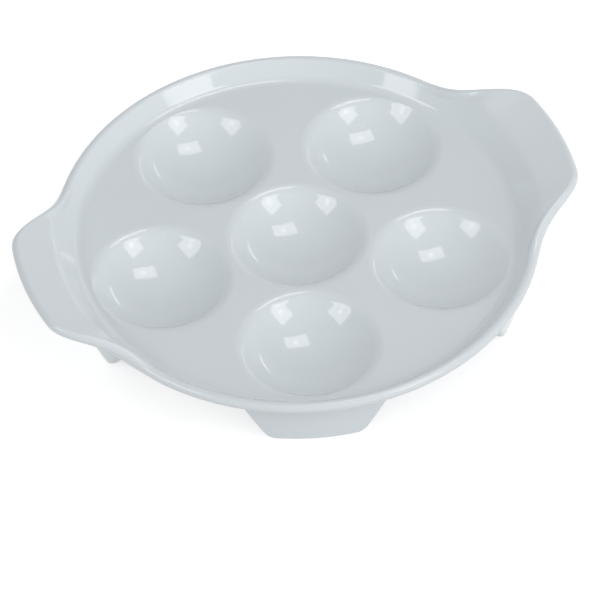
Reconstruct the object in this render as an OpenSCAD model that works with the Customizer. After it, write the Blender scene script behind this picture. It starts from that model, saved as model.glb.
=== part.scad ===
// Escargot dish: a round porcelain tray with six wells, two lifted handles and five tab feet.
// Millimetres. +Z is up, the feet stand on Z = 0, the handles lie along X, -Y is the front.

/* [Wells] */
// Number of wells in the ring around the middle one, with one foot under each
ring_wells = 5; // [4:1:6]
// Width of a well across its rounded mouth
well_d = 50; // [42:0.2:56]
// Depth of a well below the tray floor
well_depth = 10.7; // [8.6:0.1:12]
// Thickness of a well's shell
well_t = 3; // [2.6:0.1:3.2]
// Radius of the rounded edge at the mouth of a well
mouth_round = 2.4; // [2:0.1:4]
// Flat floor between the middle well and each outer well
well_gap = 2; // [1:0.1:6]
// Turn of the ring of wells and feet from the line of the handles
ring_turn = 1.6; // [0:0.2:6]

/* [Tray] */
// Thickness of the floor and the wall
wall_t = 3.8; // [3.4:0.1:4.4]
// Flat floor between the outer wells and the rim wall
floor_margin = 0.1; // [0.1:0.1:4]
// Inside radius where the floor turns up into the wall
floor_fillet = 2.4; // [2:0.1:4]
// Slope of the rim wall in degrees above level
wall_slope = 48; // [44:0.5:54]
// Length of the straight slope of the wall up to the middle of the rounded lip
wall_len = 6.2; // [5:0.1:8]

/* [Handles] */
// How far a handle stands out past the round rim
handle_reach = 15.2; // [10:0.2:20]
// How far the lip rises at a handle
handle_lift = 9.1; // [6:0.1:12]
// Half angle of the arc at the end of a handle
tip_angle = 10.1; // [8:0.1:13]
// Half angle at which the handle outline leaves the round rim
root_angle = 41.2; // [36:0.2:46]
// Half angle over which the lip stays at full height
crest_angle = 9.7; // [8:0.1:12]
// Half angle at which the lip starts to rise
rise_angle = 38.6; // [34:0.2:44]

/* [Feet] */
// Space left between the wells and the table
under_gap = 4.2; // [0.8:0.1:6]
// Thickness of a foot where it meets the tray
foot_t = 4.4; // [3.6:0.1:5]
// Thickness of a foot at the table
toe_t = 3.8; // [3:0.1:4.4]
// How far a foot leans in on its way down
foot_lean = 1.6; // [0:0.2:5]
// Width of a foot at the table, measured between its side lines
toe_w = 33.6; // [24:0.2:40]
// How far each side of a foot spreads on its way up
foot_flare = 9.6; // [0:0.2:12]
// Radius of the two lower corners of a foot
toe_corner = 4; // [1.5:0.25:6]
// Radius of the rounded inner and outer edge of the toe
toe_round = 1.2; // [0.6:0.1:1.4]

/* [Hidden] */
$fn = 96;
eps = 1;
seam = 0.12;
glaze = [0.93, 0.95, 0.96];

// A well: a ball-shaped bowl whose wall runs tangent into the rounded mouth
mouth_r = well_d / 2;
bowl_angle = 2 * atan(well_depth / mouth_r);
bowl_r = mouth_r / sin(bowl_angle) - mouth_round;
bowl_z = (bowl_r + mouth_round) * cos(bowl_angle) - mouth_round;
seat_r = bowl_r * sin(bowl_angle);
seat_z = -mouth_round * (1 - cos(bowl_angle));
shell_r = bowl_r + well_t;

// The rings on which the wells, the floor and the wall stand
ring_r = well_d + well_gap;
well_step = 360 / ring_wells;
floor_r = ring_r + mouth_r + floor_margin;
floor_z = well_depth + well_t + under_gap;

// The round under a well, where its shell runs out into the underside of the floor
under_r = ring_r / 2 - seam;
under_edge_r = sqrt(pow(shell_r, 2) - pow(bowl_z + wall_t, 2));
under_round = (pow(under_r, 2) - pow(under_edge_r, 2)) / (2 * (shell_r - bowl_z - wall_t));

// The rim section: a curve up from the floor, a straight slope and a round lip
lip_r = wall_t / 2;
slope = [cos(wall_slope), sin(wall_slope)];
across = [-sin(wall_slope), cos(wall_slope)];
curve_centre = [floor_r, floor_fillet];
slope_start = curve_centre - (floor_fillet + lip_r) * across;
lip_centre = slope_start + wall_len * slope;
rim_r = lip_centre[0] + lip_r;

// A handle is lofted through sections at these angles
stations = 48;
curve_steps = 9;
lip_steps = 10;
half_span = max(root_angle, rise_angle);
station_step = 2 * half_span / stations;
bend_len = wall_len * 0.8;

// A foot, in radius and height
foot_in = ring_r + under_r + seam;
foot_out = foot_in + foot_t;
toe_in = foot_in - foot_lean;
toe_out = toe_in + toe_t;
foot_top = floor_z + floor_fillet / 4;
side_w = toe_w / 2 + foot_flare;
under_steps = 12;

function ring_angle(i) = 180 + ring_turn + well_step * (i - 1);
function ease(t) = t <= 0 ? 0 : t >= 1 ? 1 : t * t * t * (t * (6 * t - 15) + 10);
// Leaves slowly like ease, but settles sooner, with a long soft end
function settle(t) = t >= 1 ? 1 : ease(t * (2 - t));
function reach_at(a) = handle_reach * (1 - settle((abs(a) - tip_angle) / (root_angle - tip_angle)));
function lift_at(a) = handle_lift * (1 - ease((abs(a) - crest_angle) / (rise_angle - crest_angle)));
function heading(v) = atan2(v[1], v[0]);
function ray(a) = [cos(a), sin(a)];

// The middle line of the handle section: up the wall, over a soft bend and straight out to the lip
function bend_point() = slope_start + bend_len * slope;
function lip_point(a) = lip_centre + [reach_at(a), lift_at(a)];
function out_point(a) = bend_point() + (lip_point(a) - bend_point()) / 3;
function curve(a, u) =
    pow(1 - u, 3) * slope_start + 3 * pow(1 - u, 2) * u * bend_point()
    + 3 * (1 - u) * pow(u, 2) * out_point(a) + pow(u, 3) * lip_point(a);
function curve_heading(a, u) = heading(
    pow(1 - u, 2) * (bend_point() - slope_start) + 2 * (1 - u) * u * (out_point(a) - bend_point())
    + pow(u, 2) * (lip_point(a) - out_point(a)));

// One closed section of the handle: over the top, round the lip and back underneath
function section(a) = concat(
    [for (k = [0 : curve_steps]) curve(a, k / curve_steps) + lip_r * ray(curve_heading(a, k / curve_steps) + 90)],
    [for (k = [1 : lip_steps - 1]) lip_point(a) + lip_r * ray(curve_heading(a, 1) + 90 - 180 * k / lip_steps)],
    [for (k = [curve_steps : -1 : 0]) curve(a, k / curve_steps) - lip_r * ray(curve_heading(a, k / curve_steps) + 90)]
);
section_size = 2 * (curve_steps + 1) + lip_steps - 1;

// The seam points are pushed out so that the flat facets stay clear of the true cone below them
function is_seam(j) = j == 0 || j == section_size - 1;
function station_points(a) = [
    for (j = [0 : section_size - 1])
        let (p = section(a)[j], r = is_seam(j) ? p[0] / cos(station_step / 2) : p[0])
            [r * cos(a), r * sin(a), floor_z + p[1]]
];
function station_angle(i) = -half_span + station_step * i;

module ring_place(i) {
    rotate([0, 0, ring_angle(i)]) children();
}

// The outline of the hole for a well in the floor, in radius and height below the floor
module mouth_2d() {
    translate([0, -wall_t - eps]) square([seat_r, wall_t + 2 * eps]);
    difference() {
        translate([0, seat_z]) square([mouth_r, eps - seat_z]);
        translate([mouth_r, -mouth_round]) circle(mouth_round);
    }
}

module tray_floor() {
    color(glaze) translate([0, 0, floor_z]) difference() {
        translate([0, 0, -wall_t]) cylinder(r = floor_r, h = wall_t);
        rotate_extrude() mouth_2d();
        for (i = [1 : ring_wells])
            ring_place(i) translate([ring_r, 0, 0]) rotate_extrude() mouth_2d();
    }
}

// The section of a well: a shell, a short collar in the floor's hole and a round under the floor
module well_2d() {
    bottom = bowl_z - shell_r;
    round_centre = [under_r, -wall_t - under_round];
    shell_touch = [0, bowl_z] + shell_r * ray(heading(round_centre - [0, bowl_z]));
    difference() {
        polygon([[0, bottom], [under_r, bottom], [under_r, -wall_t], [seat_r, -wall_t], [seat_r, seat_z], [0, seat_z]]);
        translate([0, bowl_z]) circle(bowl_r);
        difference() {
            translate([0, bottom - eps]) square([under_r + eps, eps - bottom - wall_t]);
            translate([0, bowl_z]) circle(shell_r);
            difference() {
                polygon([[seat_r, -wall_t], [under_r, -wall_t], shell_touch]);
                translate(round_centre) circle(under_round);
            }
        }
    }
}

module well() {
    color(glaze) translate([0, 0, floor_z]) rotate_extrude() well_2d();
}

// The curve up from the floor to the start of the slope
module wall_2d() {
    reach = 2 * (floor_fillet + wall_t);
    intersection() {
        difference() {
            translate(curve_centre) circle(floor_fillet + wall_t);
            translate(curve_centre) circle(floor_fillet);
        }
        polygon([curve_centre, curve_centre - [0, reach], curve_centre + [reach, -reach], curve_centre - reach * across]);
    }
}

module rim_wall() {
    color(glaze) translate([0, 0, floor_z]) rotate_extrude() wall_2d();
}

// A length of the straight slope, with some width to each side of its middle line
module slope_2d(from, to, half) {
    polygon([
        slope_start + from * slope + half * across,
        slope_start + to * slope + half * across,
        slope_start + to * slope - half * across,
        slope_start + from * slope - half * across
    ]);
}

// The straight slope and the round lip, along the arc between the two handles
module rim_lip(middle) {
    color(glaze) translate([0, 0, floor_z]) rotate([0, 0, middle - 90 + half_span])
        rotate_extrude(angle = 180 - 2 * half_span) difference() {
            slope_2d(0, wall_len + lip_r, lip_r);
            difference() {
                slope_2d(wall_len, wall_len + wall_t, wall_t);
                translate(lip_centre) circle(lip_r);
            }
        }
}

module handle(side) {
    points = [for (i = [0 : stations]) each station_points(station_angle(i))];
    skin = [
        for (i = [0 : stations - 1], j = [0 : section_size - 1])
            let (a = i * section_size + j, b = i * section_size + (j + 1) % section_size)
                each [[a, b, b + section_size], [a, b + section_size, a + section_size]]
    ];
    first = [for (j = [section_size - 1 : -1 : 0]) j];
    last = [for (j = [0 : section_size - 1]) stations * section_size + j];
    color(glaze) rotate([0, 0, side]) polyhedron(points = points, faces = concat(skin, [first, last]));
}

// A four-sided outline on the line y = 0 with its two lower corners rounded
module tab_2d(left, right, top_left, top_right, top, round) {
    right_up = heading([top_right - right, top]);
    left_up = heading([top_left - left, top]);
    right_run = round / tan((180 - right_up) / 2);
    left_run = round / tan(left_up / 2);
    polygon([
        [left + left_run, 0],
        [right - right_run, 0],
        [right, 0] + right_run * ray(right_up),
        [top_right, top],
        [top_left, top],
        [left, 0] + left_run * ray(left_up)
    ]);
    translate([right - right_run, round]) circle(round);
    translate([left + left_run, round]) circle(round);
}

// All that lies above the underside of the rim, its curve drawn in short straight steps
module above_rim_2d() {
    end = slope_start + wall_len * slope - lip_r * across;
    polygon(concat(
        [[floor_r - wall_t, -wall_t]],
        [for (k = [0 : under_steps]) curve_centre + (floor_fillet + wall_t) * ray(wall_slope * k / under_steps - 90)],
        [end, end + [0, foot_top], [floor_r - wall_t, foot_top]]
    ));
}

// The foot's section, cut off where it meets the underside of the rim
module foot_2d() {
    difference() {
        tab_2d(toe_in, toe_out, foot_in, foot_out, foot_top, toe_round);
        translate([0, floor_z]) above_rim_2d();
    }
}

module foot() {
    sweep = atan(2 * side_w / toe_in);
    color(glaze) intersection() {
        rotate([0, 0, -sweep]) rotate_extrude(angle = 2 * sweep) foot_2d();
        translate([toe_in / 2, 0, 0]) rotate([90, 0, 90])
            linear_extrude(rim_r) tab_2d(-toe_w / 2, toe_w / 2, -side_w, side_w, foot_top, toe_corner);
    }
}

tray_floor();
rim_wall();
rim_lip(270);  // rim_lip_front
rim_lip(90);  // rim_lip_back
handle(180);  // handle_left
handle(0);  // handle_right
well();  // well_middle
for (i = [1 : ring_wells]) {
    ring_place(i) translate([ring_r, 0, 0]) well();
    ring_place(i) foot();
}
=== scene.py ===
# %% [markdown]
# # An escargot dish in white porcelain
# The dish is one thin shell of glazed clay: a flat tray with six round wells, a low wall that rolls
# over into a rounded lip, two handles drawn out of that lip, and five tab feet. Everything you see
# on such a dish is shape and gloss, so the lesson is about clean curved surfaces and about light.
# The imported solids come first: the sizes below follow theirs, and each piece stands in for some of them.

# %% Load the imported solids
import math

import bmesh
import bpy
from mathutils import Matrix, Vector


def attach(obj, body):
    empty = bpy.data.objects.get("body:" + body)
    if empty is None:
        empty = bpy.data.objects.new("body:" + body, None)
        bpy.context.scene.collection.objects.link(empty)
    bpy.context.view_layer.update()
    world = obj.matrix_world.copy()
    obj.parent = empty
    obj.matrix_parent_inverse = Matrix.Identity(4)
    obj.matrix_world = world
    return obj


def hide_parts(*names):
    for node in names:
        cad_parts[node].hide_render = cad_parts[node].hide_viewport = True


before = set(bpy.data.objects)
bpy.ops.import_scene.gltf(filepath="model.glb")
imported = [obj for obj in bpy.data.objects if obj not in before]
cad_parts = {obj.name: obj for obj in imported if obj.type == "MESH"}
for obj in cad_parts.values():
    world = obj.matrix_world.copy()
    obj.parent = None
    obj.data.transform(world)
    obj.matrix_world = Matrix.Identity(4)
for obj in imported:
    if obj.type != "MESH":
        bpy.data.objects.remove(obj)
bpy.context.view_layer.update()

# %% [markdown]
# ## The camera
# The picture was taken with a long lens from above and a little to the left, with the handles turned
# away from the line of sight. A long lens flattens the perspective, which is why the far wells look
# almost as large as the near ones. The camera is set by its target, distance, elevation, azimuth and a
# slight roll, because each of these can be tuned alone against the outlines of the rim and the wells.
# Sizes of the dish are written in millimetres, and MM turns them into the scene's metres.

# %% Place the camera
MM = 0.001
target = Vector((-11.25, -26.96, 18.5)) * MM
distance = 1438.4 * MM
elevation, azimuth, roll = (math.radians(a) for a in (47.59, -20.15, -1.16))

back = Vector((
    math.sin(azimuth) * math.cos(elevation),
    -math.cos(azimuth) * math.cos(elevation),
    math.sin(elevation)))
level = Vector((math.cos(azimuth), math.sin(azimuth), 0.0))
upright = back.cross(level)
right = math.cos(roll) * level + math.sin(roll) * upright
up = math.cos(roll) * upright - math.sin(roll) * level

camera = bpy.data.objects.new("camera", bpy.data.cameras.new("camera"))
bpy.context.collection.objects.link(camera)
camera.data.sensor_width = 36.0
camera.data.lens = 250.2
turned = Matrix((right, up, back)).transposed().to_4x4()
camera.matrix_world = Matrix.Translation(target + distance * back) @ turned
bpy.context.scene.camera = camera
print("camera at", [round(v, 3) for v in camera.location], "lens", camera.data.lens)

# %% [markdown]
# ## Nodes as sums
# Surfaces and finishes below are both written as formulas. Placing and linking every Math node by hand
# would take a line for each sign. This small class wraps a node's output instead, so that `a * b + 1`
# in Python adds the Math nodes that work it out. Every other node comes from one method, which takes
# the node's type, its settings and what goes into its sockets.

# %% A socket that takes part in sums
class Wire:
    """One output of a node, used like a number."""

    def __init__(self, tree, socket):
        self.tree, self.socket = tree, socket

    def node(self, kind, settings=None, sockets=None, out=0):
        made = self.tree.nodes.new(kind)
        for name, value in (settings or {}).items():
            setattr(made, name, value)
        for key, value in (sockets or {}).items():
            for one in value if isinstance(value, list) else [value]:
                if isinstance(one, Wire):
                    self.tree.links.new(one.socket, made.inputs[key])
                else:
                    made.inputs[key].default_value = one
        return Wire(self.tree, made.outputs[out]) if made.outputs else made

    def out(self, name):
        return Wire(self.tree, self.socket.node.outputs[name])

    def math(self, operation, *values):
        return self.node("ShaderNodeMath", {"operation": operation}, dict(enumerate(values)))

    def __add__(self, other):
        return self.math("ADD", self, other)

    def __radd__(self, other):
        return self.math("ADD", other, self)

    def __sub__(self, other):
        return self.math("SUBTRACT", self, other)

    def __rsub__(self, other):
        return self.math("SUBTRACT", other, self)

    def __mul__(self, other):
        return self.math("MULTIPLY", self, other)

    def __rmul__(self, other):
        return self.math("MULTIPLY", other, self)

    def __truediv__(self, other):
        return self.math("DIVIDE", self, other)

    def __rtruediv__(self, other):
        return self.math("DIVIDE", other, self)

    def __abs__(self):
        return self.math("ABSOLUTE", self)

    def sin(self):
        return self.math("SINE", self)

    def cos(self):
        return self.math("COSINE", self)

    def root(self):
        return self.math("SQRT", self)

    def clamp(self):
        return self.math("MAXIMUM", self.math("MINIMUM", self, 1.0), 0.0)


print("a wire can be added, taken away, multiplied and divided, and held between 0 and 1")

# %% [markdown]
# ## The glaze
# White porcelain under a clear glaze: the clay gives a soft, slightly cool white, and the glaze lies
# over it like glass. It is not perfectly even. Its colour turns a little whiter the lower it lies below
# the floor, so the wells and the feet look whiter: that is painted light, which lifts the shade that
# falls in the wells. The glaze ripples by a few thousandths of a millimetre, and the toes of the feet
# are wiped bare before firing so that the dish doesn't stick to the kiln shelf. Painted pictures could
# show this too, but a few noises in Object coordinates need no unwrapping, and they run on across the
# seams because every piece keeps its place in its mesh.

# %% Make the glaze
FLOOR_Z = 17.9
THIN_WHITE, FULL_WHITE = (0.784, 0.845, 0.880, 1.0), (0.805, 0.863, 0.896, 1.0)
# The first white on the next line is painted light: the whiter colour of the low parts, lifting the shade in
# the wells. The clay is the bare toes' own colour.
PAINTED_LIGHT_WHITE, BARE_CLAY = (0.825, 0.890, 0.925, 1.0), (0.62, 0.60, 0.57, 1.0)
CLOUD_GAIN, CLOUD_CUT = 1.6, 0.3
# Where, and how strongly, the painted light whitens the low parts.
PAINTED_LIGHT_TOP, PAINTED_LIGHT_DEPTH, PAINTED_LIGHT_SHARE = FLOOR_Z - 1.0, 12.0, 0.8
BARE_TOP, BARE_FADE, BARE_RAGGED = 0.55, 0.25, 0.4
GLOSSY, HAZE, CHALKY = 0.045, 0.03, 0.75
RIPPLE, GRIT = 0.006, 0.05
GLAZE_IOR = 1.6


def make_glaze():
    material = bpy.data.materials.new("porcelain_glaze")
    material.use_nodes = True
    tree = material.node_tree
    tree.nodes.clear()
    start = Wire(tree, tree.nodes.new("ShaderNodeTexCoord").outputs["Object"])
    height = start.node("ShaderNodeSeparateXYZ", sockets={0: start}).out("Z") / MM

    def noise(scale, detail):
        return start.node("ShaderNodeTexNoise", sockets={"Vector": start, "Scale": scale, "Detail": detail})

    def mix(share, one, other):
        return start.node("ShaderNodeMix", {"data_type": "RGBA"}, {0: share, 6: one, 7: other}, out=2)

    clouds = (noise(26.0, 3.0) * CLOUD_GAIN - CLOUD_CUT).clamp()
    # Painted light: the colour turns whiter the further a point lies below the floor top, lifting the shade
    # in the wells and on the feet.
    painted_light_low = ((PAINTED_LIGHT_TOP - height) / PAINTED_LIGHT_DEPTH).clamp()
    coated = mix(painted_light_low * PAINTED_LIGHT_SHARE, mix(clouds, THIN_WHITE, FULL_WHITE), PAINTED_LIGHT_WHITE)
    grit = noise(900.0, 2.0)
    bare = ((BARE_TOP - height + (grit - 0.5) * BARE_RAGGED) / BARE_FADE).clamp()
    colour = mix(bare, coated, BARE_CLAY)

    roughness = (GLOSSY + noise(60.0, 4.0) * HAZE) * (1 - bare) + bare * CHALKY
    relief = noise(150.0, 1.0) * RIPPLE + grit * bare * GRIT
    normal = start.node("ShaderNodeBump", sockets={"Height": relief, "Distance": MM, "Strength": 1.0})

    shader = start.node("ShaderNodeBsdfPrincipled", sockets={
        "Base Color": colour, "Roughness": roughness, "Normal": normal, "IOR": GLAZE_IOR})
    start.node("ShaderNodeOutputMaterial", sockets={"Surface": shader})
    return material


glaze = make_glaze()
print("glaze nodes:", len(glaze.node_tree.nodes))

# %% [markdown]
# ## Turned surfaces from a formula
# A dish like this is turned and pressed, so most of it is a section carried round an axis. In Geometry
# Nodes a flat grid can become any such surface: one side of the grid is the turn round the axis, the
# other runs along the section. Each stretch of the section is one patch, and patches that meet are
# merged into one closed skin. Rows crowd towards both ends of a patch, so that the shading runs on
# smoothly from one patch, and from one piece, to the next.

# %% Carry patches round the axis
CROWDING = 0.9
MERGE = 0.002


def new_tree(name, sizes):
    """An empty Geometry Nodes tree with one named input for each size; returns its wires."""
    tree = bpy.data.node_groups.new(name, "GeometryNodeTree")
    tree.interface.new_socket("Geometry", in_out="OUTPUT", socket_type="NodeSocketGeometry")
    tree.interface.new_socket("Own mesh", in_out="INPUT", socket_type="NodeSocketGeometry")
    tree.interface.new_socket("Finish", in_out="INPUT", socket_type="NodeSocketMaterial")
    for size in sizes:
        tree.interface.new_socket(size, in_out="INPUT", socket_type="NodeSocketFloat")
    source = tree.nodes.new("NodeGroupInput")
    inputs = [item.name for item in tree.interface.items_tree if item.in_out == "INPUT"]
    return {key: Wire(tree, source.outputs[key]) for key in inputs}


def patch(start, columns, rows, section):
    """A grid carried round the Z axis: section(turn, share) gives its radius and height in millimetres."""
    grid = start.node("GeometryNodeMeshGrid", sockets={
        "Size X": 1.0, "Size Y": 1.0, "Vertices X": columns + 1, "Vertices Y": rows + 1})
    spot = start.node("ShaderNodeSeparateXYZ", sockets={0: start.node("GeometryNodeInputPosition")})
    turn = (spot.out("X") + 0.5) * math.tau
    even = spot.out("Y") + 0.5
    share = even - (even * math.tau).sin() * (CROWDING / math.tau)
    radius, height = section(turn, share)
    place = start.node("ShaderNodeCombineXYZ", sockets={
        0: radius * turn.cos() * MM, 1: radius * turn.sin() * MM, 2: height * MM})
    moved = start.node("GeometryNodeSetPosition", sockets={"Geometry": grid, "Position": place})
    return start.node("GeometryNodeSetShadeSmooth", sockets={"Geometry": moved, "Shade Smooth": True})


def close(start, patches):
    """Patches that meet become one skin."""
    joined = start.node("GeometryNodeJoinGeometry", sockets={"Geometry": patches})
    return start.node("GeometryNodeMergeByDistance", sockets={"Geometry": joined, "Distance": MERGE * MM})


def skin_of(start, columns, sections):
    """One skin from sections, each given with its number of rows and carried round in these columns."""
    return close(start, [patch(start, columns, rows, section) for rows, section in sections])


print("helpers ready: new_tree, patch, close, skin_of")

# %% [markdown]
# ## From a tree to a plain mesh
# A tree could stay on its object and be worked out anew at every change. These shapes are final, so
# each tree runs once and its result is kept as a plain mesh, which anything that reads meshes can use.

# %% Run a tree and keep its mesh
CREASE = math.radians(30)


def end_tree(geometry, finish):
    """Coats what the tree has made and hands it out."""
    real = geometry.node("GeometryNodeRealizeInstances", sockets={"Geometry": geometry})
    coated = geometry.node("GeometryNodeSetMaterial", sockets={"Geometry": real, "Material": finish})
    geometry.node("NodeGroupOutput", sockets={"Geometry": coated})


def build(name, tree, values, mesh=None):
    """Runs a tree on a new object, keeps the result as a plain mesh and takes the tree off again."""
    piece = bpy.data.objects.new(name, mesh or bpy.data.meshes.new(name))
    bpy.context.collection.objects.link(piece)
    modifier = piece.modifiers.new("shape", "NODES")
    modifier.node_group = tree
    for item in tree.interface.items_tree:
        if item.in_out == "INPUT" and item.name in values:
            modifier[item.identifier] = values[item.name]
    seen = piece.evaluated_get(bpy.context.evaluated_depsgraph_get())
    shaped = bpy.data.meshes.new_from_object(seen)
    piece.modifiers.remove(modifier)
    piece.data = shaped
    return tidy(piece)


def tidy(piece):
    """Points the faces outwards and keeps edges that bend by more than CREASE crisp."""
    skin = bmesh.new()
    skin.from_mesh(piece.data)
    bmesh.ops.recalc_face_normals(skin, faces=skin.faces)
    open_edges = sum(1 for edge in skin.edges if not edge.is_manifold)
    skin.to_mesh(piece.data)
    skin.free()
    piece.data.set_sharp_from_angle(angle=CREASE)
    piece.data.name = piece.name
    print(piece.name, "faces:", len(piece.data.polygons), "open edges:", open_edges)
    return piece


print("helpers ready: end_tree, build, tidy")

# %% [markdown]
# ## The size of the rim
# From the flat floor the wall curves up in a broad round, runs straight for a few millimetres and ends
# in a fully rounded lip. At each side it is drawn out and up into a lug handle. A few lengths and
# angles say all of that, and they become the named inputs of the rim's tree. The last four angles are
# turns away from the middle of a handle: its reach is full up to the tip angle and gone at the root
# angle, and its lift is full up to the crest angle and gone at the rise angle.

# %% Name the rim's sizes
THICK = 3.8
FILLET = 4.5
RING_R = 52.0
MOUTH_R = 25.0
WALL_INSET = 0.7
FLOOR_R = RING_R + MOUTH_R - WALL_INSET
BEND_SHARE = 0.8
RIM_STEPS = 720

RIM = {
    "Floor radius": FLOOR_R, "Floor height": FLOOR_Z, "Thickness": THICK, "Floor round": FILLET,
    "Wall slope": math.radians(48.8), "Wall length": 5.05,
    "Ridge slope": math.radians(4.5), "Ridge rise": 5.6,
    "Handle reach": 15.19, "Handle lift": 9.09,
    "Tip angle": math.radians(10.1), "Root angle": math.radians(41.2),
    "Crest angle": math.radians(9.7), "Rise angle": math.radians(38.6),
}
print("floor radius:", round(FLOOR_R, 2), "sizes of the rim:", len(RIM))

# %% [markdown]
# ## The rim and its handles
# Towards a handle the lip moves outwards and rises, each along an S-shaped ease of its own. Below it the
# wall goes on up, a little steeper, to a soft ridge, and from there the handle runs out more flatly.
# Handles modelled apart would leave a seam in the gloss. With one rule all the way round, the whole rim
# is one sweep of 720 steps.

# %% Sweep the rim
def ease(t):
    """An S-shaped course from 0 to 1, level and unbent at both ends."""
    t = t.clamp()
    return t * t * t * (t * (6 * t - 15) + 10)


def rim_tree():
    size = new_tree("rim", RIM)
    start = size["Floor radius"]
    half, fillet = size["Thickness"] / 2, size["Floor round"]

    def up_wall(slope, far):
        """A point of the wall's middle, this far up a straight wall of this slope."""
        radius = start + (fillet + half) * slope.sin() + far * slope.cos()
        return radius, fillet - (fillet + half) * slope.cos() + far * slope.sin()

    def course(turn):
        """The wall's slope, foot, bend and lip at this turn: bend and lip go out and up near each handle."""
        off = abs(start.math("FLOORED_MODULO", turn + math.pi / 2, math.pi) - math.pi / 2)
        out = ((off - size["Tip angle"]) / (size["Root angle"] - size["Tip angle"])).clamp()
        reach = 1 - ease(out * (2 - out))
        lift = 1 - ease((off - size["Crest angle"]) / (size["Rise angle"] - size["Crest angle"]))
        plain, length = size["Wall slope"], size["Wall length"]
        rest = (1 - reach) * (1 - reach)
        ridge = 1 - rest * rest + reach * (1 - reach)
        slope = plain + size["Ridge slope"] * ridge
        bend = up_wall(slope, length * BEND_SHARE + size["Ridge rise"] * ridge)
        lip_r, lip_z = up_wall(plain, length)
        lip = (lip_r + size["Handle reach"] * reach, lip_z + size["Handle lift"] * lift)
        return slope, up_wall(slope, 0), bend, lip

    def face(side):
        """The wall's upper face for side 1 and its under face for side -1, with a soft bend on the way."""
        def section(turn, share):
            _, foot, bend, lip = course(turn)
            rest = 1 - share
            near, far = rest * rest * rest * rest, share * share * share * share
            found = []
            for a, b, d in zip(foot, bend, lip):
                middle = b + (a - b) * near * rest + (d - b) * far * share
                found.append((middle, (b - a) * near + (d - b) * far))
            (r, dr), (z, dz) = found
            step = side * half / (dr * dr + dz * dz).root()
            return r - dz * step, size["Floor height"] + z + dr * step
        return section

    def cove(radius):
        """The round between floor and wall."""
        def section(turn, share):
            angle = share * course(turn)[0]
            return start + radius * angle.sin(), size["Floor height"] + fillet - radius * angle.cos()
        return section

    def edge(turn, share):
        _, _, (bend_r, bend_z), (lip_r, lip_z) = course(turn)
        dr, dz = lip_r - bend_r, lip_z - bend_z
        step = half / (dr * dr + dz * dz).root()
        over, out = (share * math.pi).cos() * step, (share * math.pi).sin() * step
        return lip_r - dz * over + dr * out, size["Floor height"] + lip_z + dr * over + dz * out

    def seat(turn, share):
        return start, size["Floor height"] - share * size["Thickness"]

    skin = skin_of(start, RIM_STEPS, [
        (22, cove(fillet)), (30, face(1)), (20, edge), (16, face(-1)),
        (12, cove(fillet + size["Thickness"])), (2, seat)])
    end_tree(skin, size["Finish"])
    return start.tree


rim = build("rim", rim_tree(), {"Finish": glaze, **RIM})

# %% [markdown]
# ## The section of a well
# Each well is a bowl cut from a ball, with the same thickness of clay all over, so its outside is a
# ball too. The bowl stops short of the mouth, because the soft lip round it is made with the floor. A
# short collar stands in the floor's hole, and a round joins the shell to the floor from below. The
# ball just touches the mouth's round, and the round below just touches the shell, so nearly all of
# the section follows from the mouth, the depth and the thickness.

# %% Work out the section of a well
DEPTH = 10.7
WELL_THICK = 3.0
MOUTH_ROUND = 2.4
SEAM = 0.12

steepest = 2 * math.atan(DEPTH / MOUTH_R)
bowl_r = MOUTH_R / math.sin(steepest) - MOUTH_ROUND
bowl_z = (bowl_r + MOUTH_ROUND) * math.cos(steepest) - MOUTH_ROUND
bowl_angle = math.radians(43)
seat_r = bowl_r * math.sin(bowl_angle)
seat_z = bowl_z - bowl_r * math.cos(bowl_angle)
shell_r = bowl_r + WELL_THICK
under_r = RING_R / 2 - SEAM
under_edge = math.sqrt(shell_r ** 2 - (bowl_z + THICK) ** 2)
under_round = (under_r ** 2 - under_edge ** 2) / (2 * (shell_r - bowl_z - THICK))
touch = math.atan2(under_r, bowl_z + THICK + under_round)

WELL = {
    "Floor height": FLOOR_Z, "Ring radius": RING_R, "Thickness": THICK,
    "Bowl radius": bowl_r, "Bowl centre": bowl_z, "Bowl angle": bowl_angle,
    "Seat radius": seat_r, "Seat height": seat_z, "Shell radius": shell_r,
    "Under radius": under_r, "Under round": under_round, "Touch angle": touch,
}
print("bowl radius:", round(bowl_r, 2), "round below:", round(under_round, 2))

# %% [markdown]
# ## Six wells
# A ball could cut the bowls out of a block. Turning the section instead gives inside, outside and
# collar as one closed skin of even faces, and gloss would show uneven ones. One well is made once and
# set at six points: one in the middle, five on the ring.

# %% Turn one well and set six
WELL_STEPS = 144
RING_TURN = math.radians(1.6)


def ring_turn(start, first):
    """The turn of each copy round the dish, counted on from the left handle."""
    return (start.node("GeometryNodeInputIndex") - first) * (math.tau / 5) + math.pi + RING_TURN


def ring_points(start, count, out, turn):
    """Points of the dish, each this far out at its own turn."""
    spot = start.node("ShaderNodeCombineXYZ", sockets={0: out * turn.cos(), 1: out * turn.sin(), 2: 0.0})
    return start.node("GeometryNodePoints", sockets={"Count": count, "Position": spot})


def hole_wall(size):
    """The upright wall of a hole, where a well's collar and the floor meet."""
    def section(turn, share):
        tall = size["Seat height"] + size["Thickness"]
        return size["Seat radius"], size["Floor height"] + size["Seat height"] - share * tall
    return section


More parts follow.
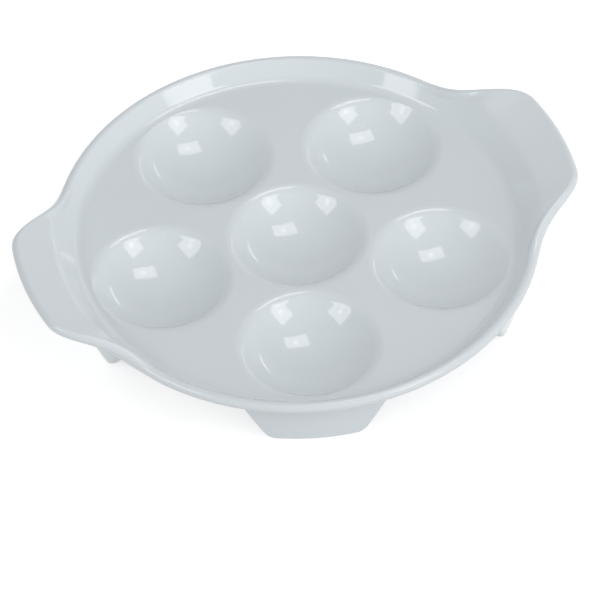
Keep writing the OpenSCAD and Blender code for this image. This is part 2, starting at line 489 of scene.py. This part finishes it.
def well_tree():
    size = new_tree("wells", WELL)
    start, top = size["Bowl radius"], size["Floor height"]

    def ball(radius, angle):
        def section(turn, share):
            tilt = share * angle
            return radius * tilt.sin(), top + size["Bowl centre"] - radius * tilt.cos()
        return section

    def ledge(turn, share):
        wide = size["Under radius"] - size["Seat radius"]
        return size["Seat radius"] + share * wide, top - size["Thickness"]

    def round_under(turn, share):
        tilt = share * size["Touch angle"]
        return (size["Under radius"] - size["Under round"] * tilt.sin(),
                top - size["Thickness"] - size["Under round"] * (1 - tilt.cos()))

    skin = skin_of(start, WELL_STEPS, [
        (36, ball(size["Bowl radius"], size["Bowl angle"])), (2, hole_wall(size)), (2, ledge),
        (8, round_under), (22, ball(size["Shell radius"], size["Touch angle"]))])

    # The first point stays in the middle, and the others go out to the ring.
    out = size["Ring radius"] * MM * start.node("GeometryNodeInputIndex").clamp()
    points = ring_points(start, 6, out, ring_turn(start, 1))
    six = start.node("GeometryNodeInstanceOnPoints", sockets={"Points": points, "Instance": skin})
    end_tree(six, size["Finish"])
    return start.tree


wells = build("wells", well_tree(), {"Finish": glaze, **WELL})

# %% [markdown]
# ## The floor
# The floor is a flat disc with six round holes, and each hole's edge rolls over into its well. The roll
# is broad and soft where the floor leaves room for it, and draws in a little where a neighbouring well
# or the wall stands close: an easing dent in the mouth's radius does that. Flat faces have to stay
# perfectly flat to reflect cleanly, so the top is filled between its outlines and shaded flat.

# %% Fill the floor and roll its edges
WELL_DENT_ANGLE = 0.45
WALL_DENT_ANGLE = 0.85

FLOOR = {
    "Floor height": FLOOR_Z, "Floor radius": FLOOR_R, "Ring radius": RING_R, "Thickness": THICK,
    "Lip width": 26.4, "Well dent": 0.5, "Wall dent": 2.2,
    "Lip knee": seat_r - seat_z / math.tan(bowl_angle), "Seat radius": seat_r, "Seat height": seat_z,
}


def floor_tree():
    size = new_tree("floor", FLOOR)
    start, top = size["Floor radius"], size["Floor height"]

    def dent(angle, every, width):
        """1 in the directions that repeat at this angle, easing to 0 at this width to each side."""
        off = start.math("FLOORED_MODULO", angle + every / 2, every) - every / 2
        t = (abs(off) / width).clamp()
        return (1 - t * t) * (1 - t * t)

    def middle_lip(turn):
        near = dent(turn - math.pi - RING_TURN, math.tau / 5, WELL_DENT_ANGLE)
        return size["Lip width"] - size["Well dent"] * near

    def outer_lip(turn):
        near = size["Well dent"] * dent(turn - math.pi, math.tau, WELL_DENT_ANGLE)
        return size["Lip width"] - near - size["Wall dent"] * dent(turn, math.tau, WALL_DENT_ANGLE)

    def seat(turn):
        return size["Seat radius"]

    def roll(lip):
        """A smooth curve from the flat floor down to the bowl's edge."""
        def section(turn, share):
            rest, square = 1 - share, share * share
            outer = rest * rest * lip(turn) + 2 * rest * share * size["Lip knee"]
            return outer + square * size["Seat radius"], top + square * size["Seat height"]
        return section

    def side(turn, share):
        return start, top - share * size["Thickness"]

    turn = ring_turn(start, 0)
    points = ring_points(start, 5, size["Ring radius"] * MM, turn)

    def six(middle, outer):
        """One shape in the middle and five copies of another, each turned to face outwards."""
        facing = start.node("ShaderNodeCombineXYZ", sockets={2: turn})
        copies = start.node("GeometryNodeInstanceOnPoints", sockets={
            "Points": points, "Instance": outer, "Rotation": facing})
        real = start.node("GeometryNodeRealizeInstances", sockets={"Geometry": copies})
        return start.node("GeometryNodeJoinGeometry", sockets={"Geometry": [middle, real]})

    def circle(steps, radius):
        return start.node("GeometryNodeCurvePrimitiveCircle", sockets={"Resolution": steps, "Radius": radius})

    def loop(radius):
        angle = start.node("GeometryNodeInputIndex") * (math.tau / WELL_STEPS)
        place = start.node("ShaderNodeCombineXYZ", sockets={
            0: radius(angle) * angle.cos() * MM, 1: radius(angle) * angle.sin() * MM})
        return start.node("GeometryNodeSetPosition", sockets={
            "Geometry": circle(WELL_STEPS, 1.0), "Position": place})

    def sheet(holes, height):
        both = start.node("GeometryNodeJoinGeometry", sockets={
            "Geometry": [circle(RIM_STEPS, start * MM), holes]})
        filled = start.node("GeometryNodeFillCurve", sockets={"Curve": both})
        lifted = start.node("GeometryNodeSetPosition", sockets={
            "Geometry": filled, "Offset": start.node("ShaderNodeCombineXYZ", sockets={2: height * MM})})
        return start.node("GeometryNodeSetShadeSmooth", sockets={"Geometry": lifted, "Shade Smooth": False})

    def edge(lip):
        return skin_of(start, WELL_STEPS, [(24, roll(lip)), (2, hole_wall(size))])

    skin = close(start, [
        sheet(six(loop(middle_lip), loop(outer_lip)), top),
        sheet(six(loop(seat), loop(seat)), top - size["Thickness"]),
        six(edge(middle_lip), edge(outer_lip)), patch(start, RIM_STEPS, 2, side)])
    end_tree(skin, size["Finish"])
    return start.tree


floor_piece = build("tray_floor_glazed", floor_tree(), {"Finish": glaze, **FLOOR})

# %% [markdown]
# ## The outlines of a foot
# Five tabs stand under the rim, one below each outer well. A tab is a curved slab, wider at the top,
# with round lower corners and softened edges, as clay has after the mould. A bevelled box would come
# close, but width, lean and thickness all change on the way up. So the foot is a stack of rounded
# outlines: one pattern, stretched to the size that each height asks for.

# %% Draw the outlines of a foot
# The inner radius and the thickness are those of the top, and the width is that of the toe.
FOOT = {"in": RING_R + RING_R / 2, "thick": 4.4, "toe": 3.8, "lean": 1.6, "width": 33.6, "flare": 9.6,
        "corner": 4.0, "edge": 1.2, "top": FLOOR_Z + 0.6}
CORNER_SHARE = 0.75
PATTERN_HALF, PATTERN_THICK = 20.0, 4.0
POINT_GAP = 1.5
ARC_STEPS, SIDE_STEPS = 8, 14


def foot_outline(edge):
    """The pattern: a rounded oblong, given by points across the foot and through its thickness."""
    far, deep = PATTERN_HALF - edge, PATTERN_THICK - edge
    loop = []
    for across, depth, first in ((far, deep, 0), (-far, deep, 90), (-far, edge, 180), (far, edge, 270)):
        for step in range(ARC_STEPS + 1):
            angle = math.radians(first + 90 * step / ARC_STEPS)
            loop.append((across + edge * math.cos(angle), depth + edge * math.sin(angle)))
    whole = []
    for (a0, d0), (a1, d1) in zip(loop, loop[1:] + loop[:1]):
        count = max(1, round(math.hypot(a1 - a0, d1 - d0) / POINT_GAP))
        whole += [(a0 + (a1 - a0) * k / count, d0 + (d1 - d0) * k / count) for k in range(count)]
    return whole


def drawn_in(radius, height):
    """How far a rounded lower edge of this radius draws in at this height."""
    return radius - math.sqrt(max(0, radius ** 2 - max(0, radius - height) ** 2))


def foot_rows():
    """The height, half width, inner and outer radius of each outline, from the toe up."""
    edge, corner, top = FOOT["edge"], FOOT["corner"], FOOT["top"]
    heights = [edge * (1 - math.cos(math.radians(90 * k / ARC_STEPS))) for k in range(ARC_STEPS + 1)]
    heights += [edge + (corner - edge) * k / ARC_STEPS for k in range(1, ARC_STEPS + 1)]
    heights += [corner + (top - corner) * k / SIDE_STEPS for k in range(1, SIDE_STEPS + 1)]
    rows = []
    for z in heights:
        share = z / top
        low = FOOT["in"] - FOOT["lean"] * (1 - share)
        high = low + FOOT["toe"] + (FOOT["thick"] - FOOT["toe"]) * share
        half_w = FOOT["width"] / 2 + FOOT["flare"] * share - drawn_in(corner, z) * CORNER_SHARE
        rows.append((z, half_w, low + drawn_in(edge, z), high - drawn_in(edge, z)))
    return rows


print("outlines:", len(foot_rows()), "points in each:", len(foot_outline(FOOT["edge"])))

# %% [markdown]
# ## One foot
# Faces join each outline to the next, and one face closes each end. The top follows the round under
# the rim and sinks a little into it, so that no gap shows. Clay has no hard edge here, so the whole
# foot is shaded smooth.

# %% Loft one foot
SUNK = 0.3
CLEARANCE = 0.1


def under_rim(radius):
    """Height of the underside of the rim's round at this radius."""
    outside = FILLET + THICK
    away = min(radius - FLOOR_R, outside - CLEARANCE)
    return FLOOR_Z + FILLET - math.sqrt(outside ** 2 - away ** 2)


def foot_mesh():
    outline = foot_outline(FOOT["edge"])
    count = len(outline)
    skin = bmesh.new()
    rings = []
    for z, half_w, low, high in foot_rows():
        ring = []
        for across, depth in outline:
            side = across / PATTERN_HALF * half_w
            r = low + depth / PATTERN_THICK * (high - low)
            place = Vector((math.sqrt(r * r - side * side), side, min(z, under_rim(r) + SUNK)))
            ring.append(skin.verts.new(place * MM))
        rings.append(ring)
    for lower, upper in zip(rings, rings[1:]):
        for k in range(count):
            skin.faces.new((lower[k], lower[(k + 1) % count], upper[(k + 1) % count], upper[k]))
    skin.faces.new(list(reversed(rings[0])))
    skin.faces.new(rings[-1])
    mesh = bpy.data.meshes.new("one_foot")
    skin.to_mesh(mesh)
    skin.free()
    for face in mesh.polygons:
        face.use_smooth = True
    return mesh


one_foot = foot_mesh()
print("faces of one foot:", len(one_foot.polygons))

# %% [markdown]
# ## Five feet in a ring
# The foot is made once, pointing along X. A tree places five copies at the middle of the dish and gives
# each its own turn, so the feet stay in step with the ring of wells above them.

# %% Set the five feet
FEET = {"First turn": math.pi + RING_TURN}


def feet_tree():
    size = new_tree("feet", FEET)
    start = size["First turn"]
    turn = start.node("GeometryNodeInputIndex") * (math.tau / 5) + start
    points = start.node("GeometryNodePoints", sockets={"Count": 5})
    spun = start.node("ShaderNodeCombineXYZ", sockets={2: turn})
    end_tree(start.node("GeometryNodeInstanceOnPoints", sockets={
        "Points": points, "Instance": size["Own mesh"], "Rotation": spun}), size["Finish"])
    return start.tree


feet = build("feet", feet_tree(), {"Finish": glaze, **FEET}, one_foot)

# %% [markdown]
# ## The softboxes
# Gloss only shows what it reflects. Three rectangular softboxes light the dish: one at the front right,
# one at the left and a smaller one close overhead, each brighter in its middle. They are what the wells
# mirror. The two on stands are far off, so that both ends of the dish get about the same light. Their
# sizes and places are in metres.

# %% Set the softboxes
RADIANCE = 2.5
HEART_GAIN = 0.7
HEART_FORWARD = 0.01


def heading(azimuth_deg, elevation_deg):
    """The direction from the dish to a point of the room."""
    a, e = math.radians(azimuth_deg), math.radians(elevation_deg)
    return Vector((math.cos(e) * math.cos(a), math.cos(e) * math.sin(a), math.sin(e)))


def softbox(name, place, aim, side, width, tall, heart):
    """A rectangular lamp with a brighter disc in its middle; RADIANCE is what a mirror would show."""
    place, aim = Vector(place), Vector(aim).normalized()
    across = (Vector(side) - aim * aim.dot(Vector(side))).normalized()
    turned = Matrix((across, (-aim).cross(across), -aim)).transposed().to_4x4()
    disc_area = heart * heart * math.pi / 4
    sheet = ("", "RECTANGLE", (width, tall), width * tall, 0.0, RADIANCE)
    disc = ("_heart", "DISK", (heart, heart), disc_area, HEART_FORWARD, RADIANCE * HEART_GAIN)
    for part, shape, size, area, forward, light in (sheet, disc):
        lamp = bpy.data.lights.new(name + part, "AREA")
        lamp.shape = shape
        lamp.size, lamp.size_y = size
        lamp.energy = light * math.pi * area
        item = bpy.data.objects.new(name + part, lamp)
        bpy.context.collection.objects.link(item)
        item.matrix_world = Matrix.Translation(place + aim * forward) @ turned


def stand(name, azimuth_deg, elevation_deg, far, **lamp):
    """A softbox on a stand, looking at the middle of the dish, with its lower edge level."""
    away = heading(azimuth_deg, elevation_deg)
    middle = Vector((0.0, 0.0, FLOOR_Z * MM))
    softbox(name, away * far + middle, -away, heading(azimuth_deg + 90, 0), **lamp)


stand("softbox_right", azimuth_deg=-57, elevation_deg=45, far=1.2, width=0.42, tall=0.55, heart=0.13)
stand("softbox_left", azimuth_deg=-169, elevation_deg=43, far=1.7, width=0.73, tall=0.67, heart=0.17)
softbox("softbox_top", place=(0.19, 0.0, 0.66), aim=(0.0, 0.0, -1.0), side=(1.0, 0.0, 0.0),
        width=0.34, tall=0.18, heart=0.07)

# %% [markdown]
# ## The room
# The rest of the light comes from a plain white room. It is brighter at the front, and low down it is
# brighter all round, most of all on the right. A thin bright slit low at the back right draws the fine
# crescents at the lower left of the bowls. More lamps could do this, but one sum over the direction
# that a ray looks in needs no objects, and each part of it can be tuned alone.

# %% Light the room
ROOM = 0.275
LOW_TOP, LOW_FADE = 0.62, 0.42
LOW_GAIN, LOW_RIGHT_GAIN, FRONT_GAIN, SLIT_GAIN = 0.23, 0.3, 0.6, 2.4
FRONT = Vector((0.2, -0.92, 0.33)).normalized()
RIGHT = Vector((0.93, 0.25, 0.28))
SLIT_ENDS = heading(22, 20), heading(50, 6)
SLIT_HALF_WIDTH, SLIT_TAPER = 0.018, 1.5
SLIT_REACH, SLIT_FADE = 0.955, 0.02

world = bpy.data.worlds.new("studio")
bpy.context.scene.world = world
world.use_nodes = True
sky = world.node_tree
sky.nodes.clear()
view = Wire(sky, sky.nodes.new("ShaderNodeTexCoord").outputs["Generated"])


def towards(direction):
    """How far a ray looks in this direction: 1 straight at it, 0 square to it."""
    sockets = {0: view, 1: direction}
    return view.node("ShaderNodeVectorMath", {"operation": "DOT_PRODUCT"}, sockets, out="Value")


front, right_side = towards(FRONT).clamp(), towards(RIGHT).clamp()
low = ((LOW_TOP - view.node("ShaderNodeSeparateXYZ", sockets={0: view}).out("Z")) / LOW_FADE).clamp()
slit_plane = SLIT_ENDS[0].cross(SLIT_ENDS[1]).normalized()
slit_middle = (SLIT_ENDS[0] + SLIT_ENDS[1]).normalized()
slit_across = (SLIT_TAPER - abs(towards(slit_plane)) / SLIT_HALF_WIDTH).clamp()
slit_along = ((towards(slit_middle) - SLIT_REACH) / SLIT_FADE).clamp()
low_light = low * (LOW_GAIN + LOW_RIGHT_GAIN * right_side)
brightness = ROOM + low_light + front * front * FRONT_GAIN + slit_across * slit_along * SLIT_GAIN
room = view.node("ShaderNodeBackground", sockets={"Color": (1.0, 1.0, 1.0, 1.0), "Strength": brightness})
view.node("ShaderNodeOutputWorld", sockets={"Surface": room})
print("room nodes:", len(sky.nodes))

# %% [markdown]
# ## The floor of the studio
# The dish stands on a pale floor that looks white. More light on the floor would wash out the dish as
# well. So the floor glows, but only for rays from the camera and for rays that gloss or glass has sent
# on. It still takes light as paper does, and so it keeps the soft shadow.

# %% Lay the studio floor
PAPER_REACH = 3.0
PAPER_WHITE = (0.65, 0.65, 0.65, 1.0)
PAPER_GLOW = 0.65


def studio_floor():
    skin = bmesh.new()
    bmesh.ops.create_grid(skin, x_segments=1, y_segments=1, size=PAPER_REACH)
    mesh = bpy.data.meshes.new("studio_floor")
    skin.to_mesh(mesh)
    skin.free()
    piece = bpy.data.objects.new("studio_floor", mesh)
    bpy.context.collection.objects.link(piece)
    material = bpy.data.materials.new("studio_white")
    material.use_nodes = True
    tree = material.node_tree
    tree.nodes.clear()
    path = Wire(tree, tree.nodes.new("ShaderNodeLightPath").outputs["Is Camera Ray"])
    seen = (path + path.out("Is Glossy Ray") + path.out("Is Transmission Ray")).clamp()
    paper = path.node("ShaderNodeBsdfDiffuse", sockets={"Color": PAPER_WHITE})
    glow = path.node("ShaderNodeEmission", sockets={
        "Color": (1.0, 1.0, 1.0, 1.0), "Strength": seen * PAPER_GLOW})
    both = path.node("ShaderNodeAddShader", sockets={0: paper, 1: glow})
    path.node("ShaderNodeOutputMaterial", sockets={"Surface": both})
    mesh.materials.append(material)
    return piece


ground = studio_floor()
bpy.context.scene.view_settings.view_transform = "Standard"
print("studio floor:", len(ground.data.polygons), "face, reaching", PAPER_REACH, "m to each side")

# %% [markdown]
# ## Joining the frame
# Every piece rides on the dish's one body, hides the solids it stands for and takes the glaze's slot.

# %% Hand the pieces over
RING = range(1, 6)
parts = {
    rim: ["rim_wall", "rim_lip_front", "rim_lip_back", "handle_left", "handle_right"],
    wells: ["well_middle"] + [f"well_{i}" for i in RING],
    floor_piece: ["tray_floor"],
    feet: [f"foot_{i}" for i in RING],
}
for piece, nodes in parts.items():
    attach(piece, "root")
    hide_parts(*nodes)
    print(piece.name, "stands for", nodes)
